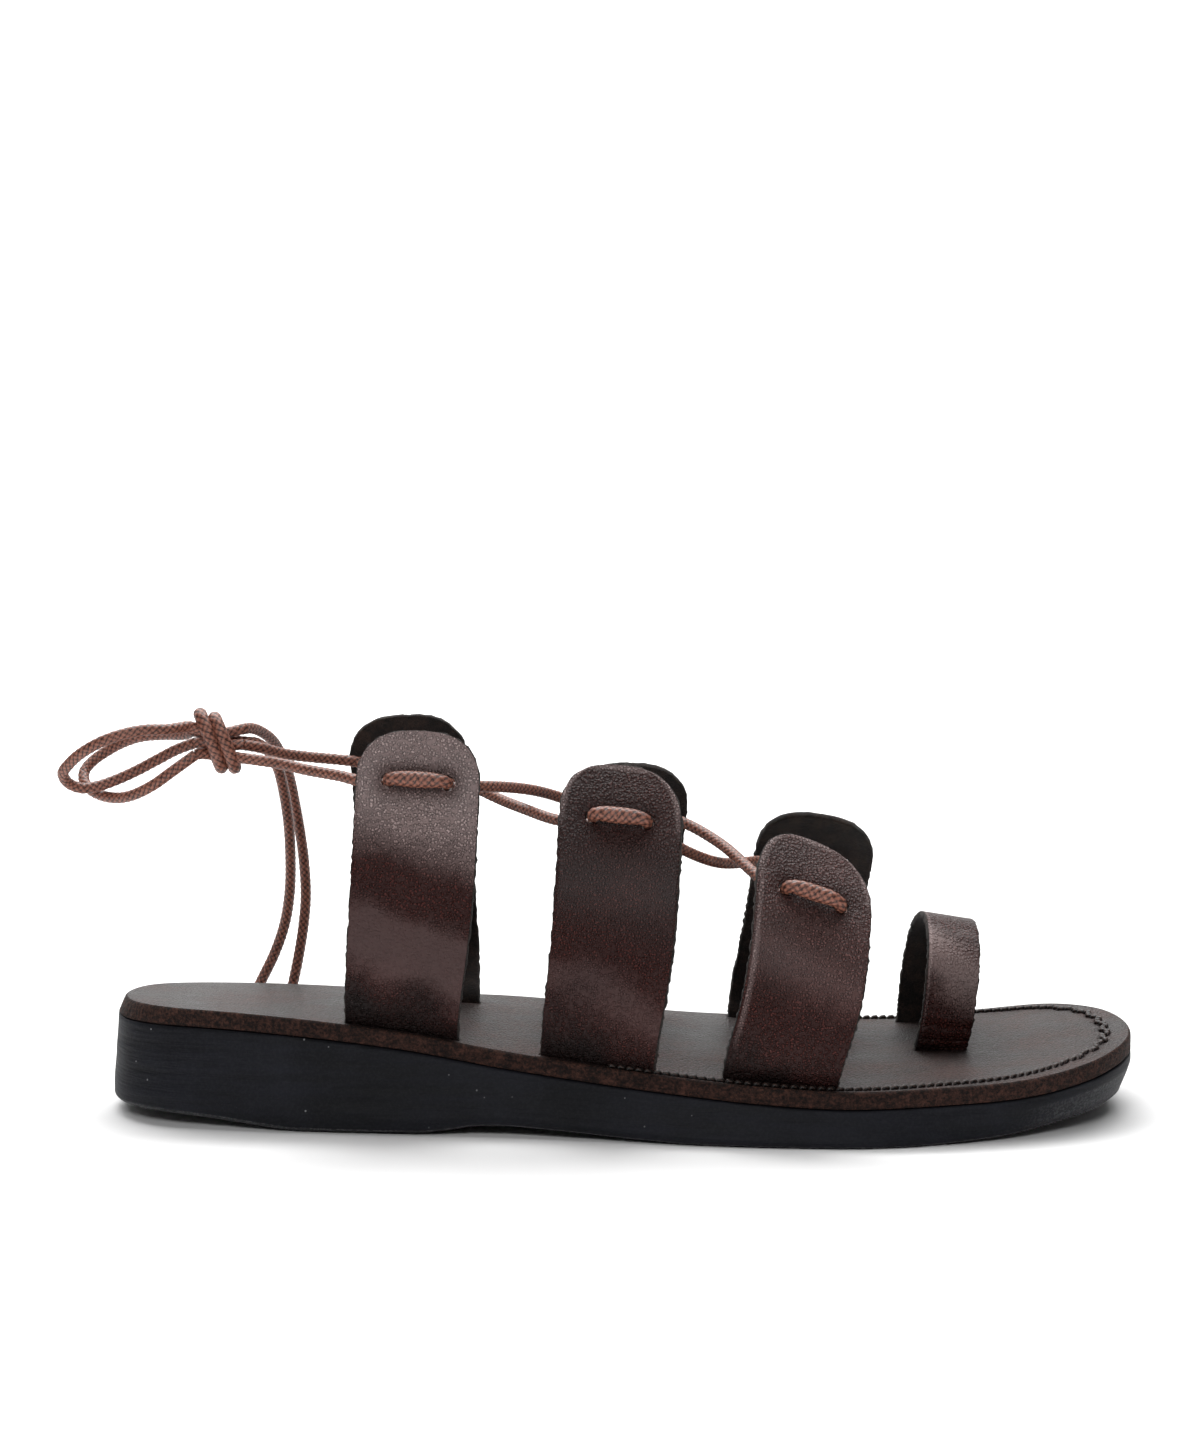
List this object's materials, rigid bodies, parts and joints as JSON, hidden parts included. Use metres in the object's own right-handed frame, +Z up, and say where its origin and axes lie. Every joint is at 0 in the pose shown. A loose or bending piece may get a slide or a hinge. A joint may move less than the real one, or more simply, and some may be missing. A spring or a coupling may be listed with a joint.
{
  "type": "lace-up strap sandal",
  "caption": "Flat leather sandal, right foot: rubber sole, leather insole, three laced instep straps, a toe loop and a long braided lace tied behind.",
  "frame": {"origin": "on the floor, under the middle of the sandal's box without the free cord", "axes": "+X towards the toe, +Y towards the inner side of the foot, +Z up"},
  "size_m": [0.2764, 0.1326, 0.1022],
  "materials": {
    "rubber": "matt moulded black",
    "footbed_leather": "dark brown satin, raw brown edge",
    "strap_leather": "waxed reddish brown, fine grain",
    "lace_cord": "waxed braid, reddish brown"
  },
  "bodies": {
    "root": {"outsole": "rubber", "insole": "footbed_leather", "strap_1_outer": "strap_leather", "strap_1_inner": "strap_leather", "strap_2_outer": "strap_leather", "strap_2_inner": "strap_leather", "strap_3_outer": "strap_leather", "strap_3_inner": "strap_leather", "toe_loop": "strap_leather", "lace": "lace_cord", "lace_knot": "lace_cord", "lace_loop_1": "lace_cord", "lace_loop_2": "lace_cord", "lace_end_1": "lace_cord", "lace_end_2": "lace_cord"}
  },
  "joints": []
}
